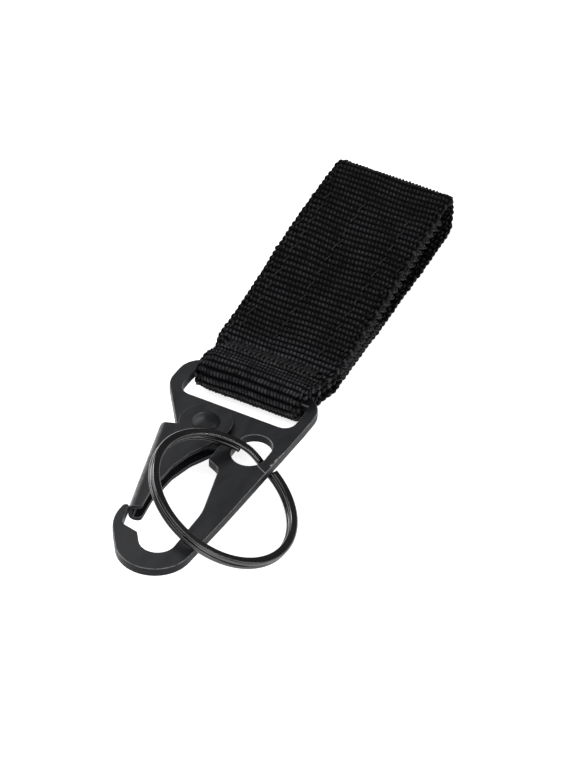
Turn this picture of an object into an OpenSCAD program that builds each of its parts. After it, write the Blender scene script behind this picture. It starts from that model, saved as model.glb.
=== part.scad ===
// Belt key clip: a folded webbing belt loop with a hook-and-loop closure, a flat snap hook that
// hangs in its sewn eye, a sprung gate and a split ring linked through the hook's plate.
// The strap lies on the ground with its belt end towards +Y, and the hook points towards -Y.

/* [Webbing] */
// Width of the webbing
web_w = 25; // [22:0.5:28]
// Thickness of the webbing
web_t = 1.5; // [1.2:0.1:2]
// Length from the hook's crossbar to the far fold of the belt loop
loop_len = 58.7; // [50:0.5:80]
// Height of the belt loop's far end, outside
loop_h = 9.4; // [8.6:0.2:12]
// Length of the flat sewn stretch, from the crossbar to where the two layers start to part
closed_len = 8; // [7.8:0.1:10]
// Radius of the far fold's upper edge, at mid thickness
fold_top_r = 2.2; // [1.6:0.1:3]
// Radius of the far fold's lower edge, at mid thickness
fold_low_r = 3.2; // [2:0.1:4]
// Mean clearance round the crossbar inside the sewn eye
eye_gap = 0.6; // [0.5:0.02:0.8]
// Distance by which the slack eye stands out past the crossbar
eye_slack = 0.35; // [0.2:0.05:0.4]
// Length of the short tail that is turned back and sewn, from the crossbar
tail_len = 8.5; // [7.5:0.1:9]
// Distance of the free end from the crossbar
free_end = 3.2; // [3.1:0.1:4]
// Width of the webbing where it is drawn in to pass the slot
neck_w = 23; // [20:0.2:24.4]
// Gap on each side between the drawn-in webbing and the slot's ends
slot_side_gap = 0.3; // [0.2:0.05:0.8]

/* [Closure and stitching] */
// Width of the hook-and-loop tapes
tape_w = 20; // [14:0.5:21]
// Thickness of each tape
tape_t = 1.2; // [0.8:0.1:1.3]
// Distance of both tapes' near ends from the crossbar
tape_start = 9.6; // [9.2:0.1:11]
// Distance of the upper tape's far end from the far fold
tape_end_gap = 7; // [5:0.5:12]
// Length of the lower tape
loop_tape_len = 17; // [10:1:30]
// Diameter of the sewing thread
thread_d = 0.45; // [0.3:0.05:0.6]
// Length of one stitch of the long seams
stitch_len = 2.2; // [1.5:0.1:3]
// Pitch of the stitches
stitch_pitch = 3.5; // [3.2:0.1:5]
// Distance of the first and last stitch from the upper tape's ends
seam_inset = 1.4; // [1:0.1:3]
// Distance of the left seam from the strap's middle
seam_left = 9.4; // [8:0.1:9.6]
// Distance of the middle seam to the left of the middle, at its far end
seam_mid_far = 2.1; // [0:0.1:3]
// Distance of the middle seam to the left of the middle, at its near end
seam_mid_near = 2.1; // [0:0.1:3]
// Distance of the right seam from the strap's middle at its far end
seam_right_far = 7.9; // [6:0.1:9.2]
// Distance of the right seam from the strap's middle at its near end
seam_right_near = 7.5; // [6:0.1:9.4]
// Length of the bar tack across the strap
tack_len = 19.6; // [12:0.2:21]
// Depth of the bar tack along the strap
tack_depth = 2; // [1.2:0.1:2.4]
// Pitch of the bar tack's zigzag
tack_pitch = 0.95; // [0.8:0.05:1.4]
// Distance of the bar tack's middle from the crossbar
tack_y = 6.6; // [6.4:0.1:7.4]

/* [Hook plate] */
// Thickness of the plate
plate_t = 1.8; // [1.4:0.1:2]
// Width of the rail to the left of the slot
rail_left = 2.9; // [2:0.1:4]
// Width of the rail to the right of the slot
rail_right = 2.3; // [2:0.1:4]
// Depth of the slot's lower edge below the crossbar's middle
slot_drop = 9; // [8:0.1:10]
// Radius of the slot's lower corners
slot_r = 2.3; // [0.5:0.1:2.5]
// Height of the crossbar's section
bar_h = 2.8; // [2:0.1:3]
// Rounding of the crossbar's edges
bar_r = 0.4; // [0.2:0.05:0.6]
// Radius of the two shoulders
shoulder_r = 4.8; // [3:0.2:6]
// Depth at which the left edge turns inwards
flank_drop = 7.4; // [6:0.2:9]
// Radius of that turn
flank_r = 5; // [2:0.5:6]
// Depth at which the right edge starts to taper
taper_drop = 8; // [6:0.5:12]
// Radius of the lobe round the gate's rivet
lobe_r = 5.3; // [5:0.1:5.6]
// Distance of the bottom curve's centre to the right of the middle
bend_x = 5.1; // [4.6:0.1:5.6]
// Depth of the right edge's waist
waist_drop = 36; // [30:1:40]
// Distance of that waist from the middle
waist_x = 13; // [12.6:0.1:13.6]
// Depth of the bottom curve's centre
bend_y = 47.4; // [46.6:0.1:48.4]
// Outer radius of the bottom curve
bend_r = 7.2; // [6.8:0.1:7.6]
// Distance of the inner curve's centre to the right of the middle
seat_x = 5.2; // [4.8:0.1:5.6]
// Depth of the inner curve's centre
seat_y = 46.6; // [46:0.1:47.2]
// Radius of the inner curve, where a ring or cord rests
seat_r = 3.4; // [2.8:0.1:3.8]
// Depth of the opening's upper edge beside the gate
mouth_top = 23.3; // [22.5:0.1:24]
// Depth of the opening's upper edge beside the spine
mouth_low = 24.6; // [24:0.1:25]
// Distance of the opening's upper right corner from the middle
mouth_x = 5.5; // [5:0.1:6.5]
// Radius of that corner
mouth_r = 2.4; // [1:0.1:3]
// Depth at which the spine's inner edge turns straight down
spine_knee = 36.5; // [32:0.5:40]
// Depth of the shelf inside the nose, at the nose
shelf_y = 45.9; // [45.4:0.1:46.2]
// Drop of the shelf from the nose to its right end
shelf_drop = 0.7; // [0.2:0.1:0.9]
// Right end of the shelf from the middle
shelf_x = 1; // [0.4:0.1:1.2]
// Depth of the nose's tip
nose_y = 41; // [40.4:0.1:41.6]
// Width of the nose's tip
nose_w = 0.9; // [0.8:0.1:1.5]
// Rounding of the nose's outer corner
nose_r = 0.6; // [0.3:0.1:0.7]
// Drop of the nose's tip towards its outer corner
nose_slope = 0.3; // [0:0.1:0.6]
// Swell of the nose's outer edge beyond its tip
nose_swell = 0.35; // [0:0.05:0.5]
// Depth of that swell below the tip
nose_swell_y = 4.1; // [3.6:0.1:4.4]
// Radius by which that edge turns towards the bottom curve
nose_flank_r = 9; // [5:0.5:9.5]
// Lift of the hook where its ring props it off the ground, in degrees
lift = 6.4; // [4.5:0.1:8]

/* [Ring hole] */
// Distance of the hole from the middle
ring_hole_x = 8.3; // [8:0.1:8.6]
// Depth of the hole's middle
ring_hole_y = 17.2; // [16.5:0.1:18]
// Width of the hole
ring_hole_w = 6.5; // [6.4:0.1:7]
// Length of the hole
ring_hole_l = 8.8; // [8:0.1:10]

/* [Gate] */
// Distance of the rivet to the left of the middle
pivot_x = 2.4; // [2:0.1:2.8]
// Depth of the rivet
pivot_y = 15.3; // [14.8:0.1:15.8]
// Thickness of the gate's sheet
gate_t = 0.8; // [0.6:0.05:1]
// Clearance between the plate and each flange of the gate
gate_gap = 0.12; // [0.08:0.02:0.2]
// Radius of the flanges round the rivet
gate_r = 5; // [4.2:0.1:5.4]
// Distance of the heel to the left of the rivet
heel_x = 7.3; // [6.8:0.1:7.6]
// Depth of the heel below the rivet
heel_y = 4.3; // [4:0.1:4.8]
// Distance of the tip's outer edge to the left of the rivet
toe_x = 1.1; // [0.8:0.1:1.4]
// Depth of the tip below the rivet
toe_y = 26.8; // [26:0.1:28.4]
// Width of the tip
toe_w = 2.4; // [1.6:0.1:2.6]
// Radius of the sheet's bend, outside
fold_r = 1.2; // [1:0.05:1.4]
// Clearance between the shut gate and the nose
nose_gap = 0.08; // [0.04:0.02:0.2]

/* [Rivet] */
// Radius of the rivet's shank
rivet_r = 1.5; // [1.2:0.1:1.8]
// Radial clearance of the gate on the shank
rivet_fit = 0.05; // [0.02:0.01:0.1]
// Radius of the domed head
head_r = 2.7; // [2.2:0.1:3.2]
// Height of the domed head
head_h = 1.3; // [0.8:0.1:1.6]
// Radius of the clinched end
clinch_r = 2.3; // [2:0.1:2.8]
// Height of the clinched end
clinch_h = 0.7; // [0.5:0.1:1]

/* [Gate spring] */
// Thickness of the spring leaf
leaf_t = 0.3; // [0.2:0.05:0.4]
// Width of the spring leaf
leaf_w = 1.2; // [0.8:0.1:1.5]
// Length of the leg that lies on the gate's web
leg_len = 12; // [8:0.5:13]
// Radius of the spring's bend, at mid thickness
leaf_r = 0.8; // [0.5:0.05:1]
// Depth of the notch that holds the spring's end in the lobe
notch_d = 0.7; // [0.5:0.05:1]
// Width of that notch
notch_w = 0.9; // [0.8:0.05:1.2]

/* [Split ring] */
// Outer diameter of the ring
ring_d = 30; // [29.4:0.1:30.6]
// Width of the wire across the ring
wire_w = 1.6; // [1.4:0.05:1.7]
// Thickness of the wire along the ring's axis
wire_h = 1; // [0.9:0.05:1.05]
// Rounding of the wire's edges
wire_r = 0.3; // [0.1:0.05:0.4]
// Gap between the two turns
turn_gap = 0.08; // [0.05:0.01:0.12]
// Tilt of the ring against the plate, in degrees
ring_tilt = 29; // [26:0.5:30]
// Turn of the tilted ring about the plate's normal, in degrees
ring_turn = 15.2; // [12:0.2:18]
// Ring centre to the right of the hole
ring_dx = 2.1; // [1.8:0.05:2.1]
// Ring centre below the hole
ring_dy = 14.5; // [14.3:0.05:14.6]
// Ring centre above the plate's middle
ring_dz = 1.4; // [1.4:0.05:1.6]

/* [Hidden] */
$fn = 64;
// Length by which a cut passes the faces that it opens
over = 1;
// Gap between fabric pieces that are sewn or pressed together
lay_gap = 0.02;
// Lift of the stitches over the curved top layer
seam_lift = 0.06;
// Gap under the turned-back tail
tail_gap = 0.1;
// Steps in each rounded corner, and degrees in each step of a long curve
corner_steps = 6;
curve_step = 6;

// The webbing's eye and the height of the crossbar over the ground
bar_reach = norm([bar_h / 2 - bar_r, plate_t / 2 - bar_r]) + bar_r;
eye_r = bar_reach + eye_gap + web_t / 2;
bar_y = -loop_len / 2;
bar_z = eye_r + web_t / 2;
slot_w = neck_w + 2 * slot_side_gap;
hook_tape_len = loop_len - tape_start - tape_end_gap;
// Angle at which the tail leaves the eye
leave_angle = -35;
// Heights of the layers at mid thickness
low_z = web_t / 2;
close_z = web_t + 2 * tape_t + web_t / 2;
tail_z = close_z - web_t - tail_gap;
high_z = loop_h - web_t / 2;
// Distance from the crossbar over which the top layer settles behind the eye
settle_len = 5;
// Stretch over which the strap narrows to the slot
draw_near = 3.6;
draw_far = 6.4;

// Directions and places of the gate, in the plate's own frame
pivot = [-pivot_x, -pivot_y];
heel = pivot + [-heel_x, -heel_y];
toe = pivot + [-toe_x, -toe_y];
gate_dir = (toe - heel) / norm(toe - heel);
gate_in = [-gate_dir.y, gate_dir.x];
gate_h = plate_t + 2 * (gate_gap + gate_t);
// Angle on the lobe where the spine's root begins, and where the spring's notch lies
root_angle = -20;
notch_angle = -98;
root = pivot + lobe_r * [cos(root_angle), sin(root_angle)];
// Rounding of small corners of the plate
small_r = 0.5;
// Radius of the soft bends in the plate's long edges
soft_r = 12;
// Rounding of the gate's own corners
gate_corner_r = 0.9;

// The split ring's winding
ring_r = ring_d / 2 - wire_w / 2;
turn_pitch = wire_h + turn_gap;
// Angles, from the ring's low side, between which the single wire crosses from turn to turn
cross_from = 61.5;
cross_to = 88.5;
// Angle left clear between a wire's end and the crossing
end_clear = 2;

// Unit vector
function unit(v) = v / norm(v);

// Points of an arc
function arc(c, r, a0, a1) =
    let (n = max(2, ceil(abs(a1 - a0) / curve_step)))
    [for (i = [0:n]) let (a = a0 + (a1 - a0) * i / n) c + r * [cos(a), sin(a)]];

// Points of a corner at p between a and b, rounded by r
function corner(a, p, b, r) =
    r == 0 ? [p] :
    let (
        u = unit(a - p),
        v = unit(b - p),
        half = acos(u * v) / 2,
        c = p + unit(u + v) * r / sin(half),
        s = p + u * r / tan(half) - c,
        e = p + v * r / tan(half) - c,
        a0 = atan2(s.y, s.x),
        turn = atan2(s.x * e.y - s.y * e.x, s * e)
    )
    [for (i = [0:corner_steps]) let (t = a0 + turn * i / corner_steps) c + r * [cos(t), sin(t)]];

// Outline through points [x, y, radius]
function rounded(p) =
    let (n = len(p))
    [for (i = [0:n - 1])
        let (a = p[(i + n - 1) % n], b = p[(i + 1) % n])
        each corner([a.x, a.y], [p[i].x, p[i].y], [b.x, b.y], p[i][2])];

// Sharp points for an outline of rounded corners
function sharp(p) = [for (q = p) [q.x, q.y, 0]];

// Angle on a circle at c of the tangent from point p, on the side given by side
function tangent_angle(p, c, r, side) =
    atan2(p.y - c.y, p.x - c.x) + side * acos(r / norm(p - c));

// Point on a line through p along d at height y
function at_y(p, d, y) = p + d * (y - p.y) / d.y;

// Soft step from 0 to 1
function ease(f) = (1 - cos(180 * min(1, max(0, f)))) / 2;

// Height of the top layer's middle at a distance from the crossbar
function top_z(y) =
    let (settled = bar_z + eye_r + (close_z - bar_z - eye_r) * ease(y / settle_len))
    settled + (high_z - close_z) * ease((y - closed_len) / (top_end - closed_len));

eye_c = [-eye_slack, bar_z];
// Far end of the strap at mid thickness, and where its upper corner starts
far_y = loop_len - web_t / 2;
top_end = far_y - fold_top_r;

// Middle line of the webbing, [distance from the crossbar, height], from the tail's end round the
// eye, along the top, round the far fold and back along the ground to the free end
tail_bend = (tail_z - bar_z - eye_r * sin(leave_angle)) / (1 + sin(leave_angle));
tail_c = eye_c + (eye_r + tail_bend) * [cos(leave_angle), sin(leave_angle)];
// Step along the strap between points of its middle line
run_step = 1.5;
strap_line = concat(
    [[tail_len, tail_z]],
    arc(tail_c, tail_bend, 90, 180 + leave_angle),
    [for (p = arc(eye_c, eye_r, leave_angle, -270))
        if (norm(p - eye_c - eye_r * [cos(leave_angle), sin(leave_angle)]) > lay_gap) p],
    [for (i = [1:floor(top_end / run_step) - 1]) [i * run_step, top_z(i * run_step)]],
    arc([top_end, high_z - fold_top_r], fold_top_r, 90, 0),
    arc([far_y - fold_low_r, low_z + fold_low_r], fold_low_r, 0, -90),
    [[free_end, low_z]]
);

// Normal of a line of points at index i, to the left of its direction
function line_normal(p, i) =
    let (d = unit(p[min(len(p) - 1, i + 1)] - p[max(0, i - 1)])) [-d.y, d.x];

// Outline of a band between two offsets from a line of points
function band(p, a, b) = concat(
    [for (i = [0:len(p) - 1]) p[i] + a * line_normal(p, i)],
    [for (i = [len(p) - 1:-1:0]) p[i] + b * line_normal(p, i)]
);

// A profile in the strap's side view, drawn through its width
module across(w) {
    translate([0, bar_y, 0])
        rotate([90, 0, 90])
            linear_extrude(w, center = true) children();
}

// Places a piece of the hook in the plate's own frame: crossbar at the origin, Z off the plate
module in_hook() {
    translate([0, bar_y, bar_z]) rotate([-lift, 0, 0]) children();
}

// A slab of height h centred on the plate's middle plane
module slab(h) {
    linear_extrude(h, center = true) children();
}

// Webbing: one strip, folded, with a sewn eye at the hook
module webbing_strap() {
    color([0.09, 0.09, 0.095]) intersection() {
        across(web_w) polygon(band(strap_line, -web_t / 2, web_t / 2));
        translate([0, bar_y, -over]) linear_extrude(loop_h + 2 * over) polygon([
            [-neck_w / 2, -2 * bar_z], [neck_w / 2, -2 * bar_z],
            [neck_w / 2, draw_near], [web_w / 2, draw_far],
            [web_w / 2, loop_len + over], [-web_w / 2, loop_len + over],
            [-web_w / 2, draw_far], [-neck_w / 2, draw_near]
        ]);
    }
}

// Upper tape, sewn under the top layer
module hook_tape() {
    run = [for (i = [0:floor(hook_tape_len / run_step)])
        let (y = tape_start + i * run_step) [y, top_z(y)]];
    color([0.06, 0.06, 0.065])
        across(tape_w)
            polygon(band(run, -web_t / 2 - lay_gap, -web_t / 2 - tape_t + lay_gap));
}

// Lower tape, sewn on the bottom layer near its free end
module loop_tape() {
    color([0.07, 0.07, 0.075])
        translate([-tape_w / 2, bar_y + tape_start, web_t + lay_gap])
            cube([tape_w, loop_tape_len, tape_t - 2 * lay_gap]);
}

// Slant of the stitches, in degrees
stitch_slant = 14;

// Three seams that hold the upper tape, seen on the strap's top face
module tape_seams() {
    // Each row's place at its near and far ends
    rows = [
        [-seam_left, -seam_left],
        [-seam_mid_near, -seam_mid_far],
        [seam_right_near, seam_right_far]
    ];
    first = tape_start + seam_inset + stitch_len / 2;
    room = hook_tape_len - 2 * seam_inset - stitch_len;
    color([0.2, 0.2, 0.205])
        for (row = rows, i = [0:floor(room / stitch_pitch)]) {
            y = first + i * stitch_pitch;
            x = row[0] + (row[1] - row[0]) * i * stitch_pitch / room;
            rise = atan((top_z(y + stitch_len / 2) - top_z(y - stitch_len / 2)) / stitch_len);
            translate([x, bar_y + y, top_z(y)])
                rotate([rise, 0, stitch_slant])
                    translate([-thread_d / 2, -stitch_len / 2, web_t / 2 + seam_lift])
                        cube([thread_d, stitch_len, thread_d / 2]);
        }
}

// Outline of the bar tack's thread, a zigzag across the strap
module zigzag() {
    n = floor(tack_len / tack_pitch);
    line = [for (i = [0:n]) [i * tack_pitch - n * tack_pitch / 2,
        (i % 2 == 0 ? -1 : 1) * (tack_depth - thread_d) / 2]];
    polygon(band(line, -thread_d / 2, thread_d / 2));
}

// Bar tack that closes the eye: its upper face on the top layer, its lower face under the tail
module bar_tack() {
    color([0.15, 0.15, 0.155]) {
        translate([0, bar_y + tack_y, close_z + web_t / 2 + lay_gap])
            linear_extrude(thread_d) zigzag();
        translate([0, bar_y + tack_y, tail_z - web_t / 2 - lay_gap - thread_d])
            linear_extrude(thread_d) zigzag();
    }
}

// Outline of the whole plate, without its slot and holes
module plate_outline() {
    left_x = -slot_w / 2 - rail_left;
    right_x = slot_w / 2 + rail_right;
    left = [left_x, -flank_drop];
    right = [right_x, -taper_drop];
    waist = [waist_x, -waist_drop];
    bend = [bend_x, -bend_y];
    seat = [seat_x, -seat_y];
    nose_line = heel - nose_gap * gate_in;
    nose_in = at_y(nose_line, gate_dir, -nose_y);
    nose_out = nose_in - [nose_w, nose_slope];
    swell = nose_out - [nose_swell, nose_swell_y];
    shelf_in = at_y(nose_line, gate_dir, -shelf_y);
    shelf_out = [shelf_x, -shelf_y - shelf_drop];
    polygon(rounded(concat(
        [[left_x, bar_h / 2, shoulder_r], [left.x, left.y, flank_r]],
        sharp(arc(pivot, lobe_r, tangent_angle(left, pivot, lobe_r, 1), 360 + root_angle)),
        [
            [root.x, -mouth_top, small_r],
            [mouth_x, -mouth_low, mouth_r],
            [seat_x + seat_r, -spine_knee, soft_r]
        ],
        sharp(arc(seat, seat_r, 0, tangent_angle(shelf_out, seat, seat_r, 1) - 360)),
        [
            [shelf_out.x, shelf_out.y, small_r],
            [shelf_in.x, shelf_in.y, 2 * small_r],
            [nose_in.x, nose_in.y, small_r / 2],
            [nose_out.x, nose_out.y, nose_r],
            [swell.x, swell.y, nose_flank_r]
        ],
        sharp(arc(bend, bend_r, tangent_angle(swell, bend, bend_r, 1),
            360 + tangent_angle(waist, bend, bend_r, -1))),
        [
            [waist.x, waist.y, soft_r],
            [right.x, right.y, soft_r],
            [right_x, bar_h / 2, shoulder_r]
        ]
    )));
}

// The webbing slot with the crossbar's band, which is put back as a rounded bar
module slot_outline() {
    top = bar_h / 2 + over;
    polygon(rounded([
        [-slot_w / 2, top, 0], [-slot_w / 2, -slot_drop, slot_r],
        [slot_w / 2, -slot_drop, slot_r], [slot_w / 2, top, 0]
    ]));
}

// Oval hole for the split ring
module ring_hole() {
    half = (ring_hole_l - ring_hole_w) / 2;
    translate([ring_hole_x, -ring_hole_y]) {
        for (s = [-1, 1]) translate([0, s * half]) circle(d = ring_hole_w);
        square([ring_hole_w, 2 * half], center = true);
    }
}

// Notch in the lobe that holds the spring's end
module spring_notch() {
    translate(pivot)
        rotate(notch_angle)
            translate([lobe_r - notch_d, -notch_w / 2]) square([notch_d + over, notch_w]);
}

// Hook plate: stamped from flat steel, with a crossbar, a lobe for the gate and an open hook
module hook_frame() {
    color([0.27, 0.27, 0.29]) in_hook() {
        difference() {
            slab(plate_t) plate_outline();
            slab(plate_t + 2 * over) slot_outline();
            slab(plate_t + 2 * over) ring_hole();
            slab(plate_t + 2 * over) spring_notch();
            translate([pivot.x, pivot.y, 0])
                cylinder(r = rivet_r + rivet_fit, h = plate_t + 2 * over, center = true);
        }
        intersection() {
            slab(plate_t) plate_outline();
            rotate([90, 0, 90])
                linear_extrude(slot_w + 2 * bar_r, center = true) polygon(rounded([
                    [bar_h / 2, plate_t / 2, bar_r], [-bar_h / 2, plate_t / 2, bar_r],
                    [-bar_h / 2, -plate_t / 2, bar_r], [bar_h / 2, -plate_t / 2, bar_r]
                ]));
        }
    }
}

// Side view of the gate's folded sheet: a channel, open towards the spine
module channel_profile(depth) {
    inner_r = fold_r - gate_t;
    difference() {
        polygon(rounded([
            [0, gate_h / 2, fold_r], [0, -gate_h / 2, fold_r],
            [depth, -gate_h / 2, 0], [depth, gate_h / 2, 0]
        ]));
        polygon(rounded([
            [gate_t, gate_h / 2 - gate_t, inner_r], [gate_t, gate_t - gate_h / 2, inner_r],
            [depth + over, gate_t - gate_h / 2, 0], [depth + over, gate_h / 2 - gate_t, 0]
        ]));
    }
}

// Plan of the gate's flanges, left uncut beyond the folded edge
module flange_outline() {
    out = -2 * over * gate_in;
    run = norm(toe - heel);
    // Flanges' inner edge: shares of the gate's length, and of its radius away from the web
    length_shares = [0.14, 0.3, 0.48, 0.76];
    reach_shares = [2.16, 1.5, 1.03, 0.62];
    edge = [for (i = [3:-1:0])
        heel + length_shares[i] * run * gate_dir + reach_shares[i] * gate_r * gate_in];
    neck = pivot + gate_r * [cos(root_angle), sin(root_angle)];
    top_left = pivot + gate_r * [cos(215), sin(215)];
    union() {
        translate(pivot) circle(gate_r);
        polygon(rounded(concat(
            [[top_left.x, top_left.y, 0]],
            sharp([heel + out, toe + out]),
            [for (q = [toe + toe_w * gate_in]) [q.x, q.y, gate_corner_r]],
            [for (q = edge) [q.x, q.y, gate_r]],
            [[neck.x, neck.y, 0], [pivot.x, pivot.y, 0]]
        )));
    }
}

// Gate: one sheet folded over the plate, with a hole through both flanges
module gate() {
    run = norm(toe - heel);
    deep = 4 * gate_r;
    color([0.25, 0.25, 0.27]) in_hook() difference() {
        intersection() {
            slab(gate_h + 2 * over) flange_outline();
            translate([heel.x, heel.y, 0])
                rotate([0, 0, atan2(gate_dir.y, gate_dir.x)])
                    rotate([90, 0, 90])
                        translate([0, 0, -gate_r * 2])
                            linear_extrude(run + gate_r * 2) channel_profile(deep);
        }
        translate([pivot.x, pivot.y, 0])
            cylinder(r = rivet_r + rivet_fit, h = gate_h + 2 * over, center = true);
    }
}

// Rivet: domed head on top, clinched end below
module gate_rivet() {
    seat_z = gate_h / 2 + rivet_fit;
    dome_r = (head_r * head_r + head_h * head_h) / (2 * head_h);
    dome_edge = asin(head_r / dome_r);
    color([0.3, 0.3, 0.32]) in_hook() translate([pivot.x, pivot.y, 0])
        rotate_extrude() polygon(concat(
            [[0, -seat_z - clinch_h], [clinch_r - small_r, -seat_z - clinch_h],
            [clinch_r, -seat_z - clinch_h + small_r], [clinch_r, -seat_z],
            [rivet_r, -seat_z], [rivet_r, seat_z]],
            [for (i = [0:corner_steps]) let (a = dome_edge * (1 - i / corner_steps))
                [dome_r * sin(a), seat_z + head_h - dome_r + dome_r * cos(a)]]
        ));
}

// Gate spring: a leaf bent like a hairpin, one leg on the web, the other held in the lobe's notch
module gate_spring() {
    back = heel + (gate_t + leaf_t / 2 + lay_gap) * gate_in;
    first = back + 2 * leaf_r * gate_dir;
    low = back + (2 * leaf_r + leg_len) * gate_dir;
    bend_c = low + leaf_r * gate_in;
    tip = pivot + (lobe_r - notch_d / 2) * [cos(notch_angle), sin(notch_angle)];
    a0 = atan2(-gate_in.y, -gate_in.x);
    reach = tip - bend_c;
    a1 = atan2(reach.y, reach.x) - acos(leaf_r / norm(reach)) + 360;
    line = concat([first], arc(bend_c, leaf_r, a0 + 360, a1), [tip]);
    color([0.55, 0.55, 0.56]) in_hook() slab(leaf_w) polygon(band(line, -leaf_t / 2, leaf_t / 2));
}

// Section of the ring's wire, [across the ring, along its axis]
wire_section = let (w = wire_w / 2 - wire_r, h = wire_h / 2 - wire_r)
    [for (q = [[1, 1, 0], [-1, 1, 90], [-1, -1, 180], [1, -1, 270]], i = [0:2])
        let (a = q.z + 45 * i) [q.x * w + wire_r * cos(a), q.y * h + wire_r * sin(a)]];

// Height of the wire at an angle of its winding, from the lower turn to the upper one
function wire_z(a) = turn_pitch * (ease((a - 360 - cross_from) / (cross_to - cross_from)) - 1 / 2);

// Angles of the winding's sections: long steps on the turns, short ones on the crossing
wind = concat(
    [for (i = [0:55]) cross_to + end_clear
        + i * (360 + cross_from - cross_to - end_clear) / 56],
    [for (i = [0:9]) 360 + cross_from + i * (cross_to - cross_from) / 10],
    [for (i = [0:56]) 360 + cross_to + i * (360 + cross_from - cross_to - end_clear) / 56]
);

// The gaps between the two turns where they lie on each other
turn_gaps = [for (a = wind) if (a < 360 + cross_from) wire_z(a + 360) - wire_z(a) - wire_h];
echo(least_gap_between_turns = min(turn_gaps));

// Split ring: one wire wound twice round, crossing over as a single wire in the plate's hole
module split_ring() {
    m = len(wire_section);
    n = len(wind);
    points = [for (a = wind, s = wire_section)
        [(ring_r + s.x) * cos(a), (ring_r + s.x) * sin(a), wire_z(a) + s.y]];
    sides = [for (k = [0:n - 2], j = [0:m - 1])
        let (a = k * m + j, b = k * m + (j + 1) % m)
        each [[a, b + m, a + m], [a, b, b + m]]];
    ends = [[for (j = [m - 1:-1:0]) j], [for (j = [0:m - 1]) (n - 1) * m + j]];
    color([0.16, 0.16, 0.17]) in_hook()
        translate([ring_hole_x + ring_dx, -ring_hole_y - ring_dy, ring_dz])
            rotate([0, ring_tilt, ring_turn])
                polyhedron(points, concat(sides, ends));
}

webbing_strap();
hook_tape();
loop_tape();
tape_seams();
bar_tack();
hook_frame();
gate();
gate_rivet();
gate_spring();
split_ring();
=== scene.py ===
import math

import bpy
import numpy as np
from mathutils import Matrix, Vector, noise


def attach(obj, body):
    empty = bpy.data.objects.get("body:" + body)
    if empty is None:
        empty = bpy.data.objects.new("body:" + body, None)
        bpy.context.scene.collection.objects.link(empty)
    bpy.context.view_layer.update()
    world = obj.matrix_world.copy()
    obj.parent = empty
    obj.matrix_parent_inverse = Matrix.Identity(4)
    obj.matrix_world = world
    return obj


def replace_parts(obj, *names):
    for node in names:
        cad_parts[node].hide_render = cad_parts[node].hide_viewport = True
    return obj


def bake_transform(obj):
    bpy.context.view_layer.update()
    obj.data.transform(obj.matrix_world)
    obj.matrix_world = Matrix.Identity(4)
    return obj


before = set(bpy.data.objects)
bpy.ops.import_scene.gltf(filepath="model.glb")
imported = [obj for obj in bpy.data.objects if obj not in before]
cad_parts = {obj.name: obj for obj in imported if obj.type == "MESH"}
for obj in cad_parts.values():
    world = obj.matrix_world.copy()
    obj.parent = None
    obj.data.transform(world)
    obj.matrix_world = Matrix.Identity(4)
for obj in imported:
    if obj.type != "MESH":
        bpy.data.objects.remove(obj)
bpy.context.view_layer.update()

# Sizes in mm. Those of the main forms are the source's own. Lengths along the strap start at the crossbar.
MM = 0.001

# Webbing
WEB_W, WEB_T = 25.0, 1.5
LOOP_LEN, CLOSED_LEN = 58.7, 8.0
FOLD_TOP_R, FOLD_LOW_R = 2.2, 3.2
FAR_Y = LOOP_LEN - WEB_T / 2
TOP_END = FAR_Y - FOLD_TOP_R
EYE_SLACK, TAIL_LEN, FREE_END = 0.35, 8.5, 3.2
# Heights of the webbing's middle line at the closed eye, in the tail and at the far fold
CLOSE_Z, TAIL_Z, HIGH_Z = 4.65, 3.05, 8.65
# Length over which the top layer settles behind the eye, and the angle at which the tail leaves the eye
SETTLE, LEAVE = 5.0, -35.0

# Crossbar: its place in the row frame, the eye's radius round it, and the plate's tilt in degrees
BAR_Y, BAR_Z, EYE_R, LIFT = -29.35, 3.618034, 2.868034, 6.4

# Neck that passes the slot: half width on the left, the right one on the bar, and its step out behind the bar
NECK_LEFT, BAR_RIGHT, RIGHT_STEP = 11.35, 10.7, 0.6
STEP_FROM, STEP_TO = -2.2, -0.4
# Where the neck widens to the full strip, and where its edges stop being rounded off to clear the plate
WIDEN_FROM, WIDEN_TO = 3.6, 8.5
ROUND_FROM, ROUND_TO, ROUND_RUN = 3.5, 1.0, 4
# Pull of the far fold on both edges, and the length over which it grows
FOLD_TUCK, TUCK_RUN = 0.55, 1.6

# Weave: pitch of the ribs along the strip and of the raised yarns across it, read from the photograph
RIB, YARN = 1.32, 0.785
# Depths between two ribs, between two yarns and of the raised yarns, and how unevenly these stand
ROW_DEPTH, GAP_DEPTH, YARN_DEPTH, UNEVEN = 0.46, 0.30, 0.03, 0.04
# Powers that make the ribs and the yarns blunter than a sine
RIB_POWER, YARN_POWER = 0.9, 0.7
# Sideways lean of each raised yarn, as a share of its length
LEAN = 0.30
# Slip of the yarns along the strip, and the most that the edges wander, over this length
SLIP, WANDER, WANDER_RUN = 0.20, 0.10, 5
# Places of the mesh's lines within one rib, as shares of its pitch, and points across each yarn
RIB_SHARES = np.array((0.0, 0.10, 0.26, 0.5, 0.74, 0.90))
YARN_POINTS = 4
# Width of the rounded edge, and how far it lies lower over the outer shares of the half width
EDGE_W, EDGE_DROP, EDGE_FROM, ROUND_DROP = 0.30, 0.14, 0.95, 0.5
# Knob that each rib's yarn makes at the edge: its reach in the gaps, how much more on the ribs, how unevenly
KNOB_LEAST, KNOB_REACH, KNOB_UNEVEN = 0.08, 0.34, 0.25
# How far the knob stays inside the cloth's faces, how much more in the gaps, and the angles of its points
KNOB_INSET, KNOB_GAP = 0.17, 0.16
KNOB_ANGLES = (72, 44, 15, -15, -44, -72)
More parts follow.
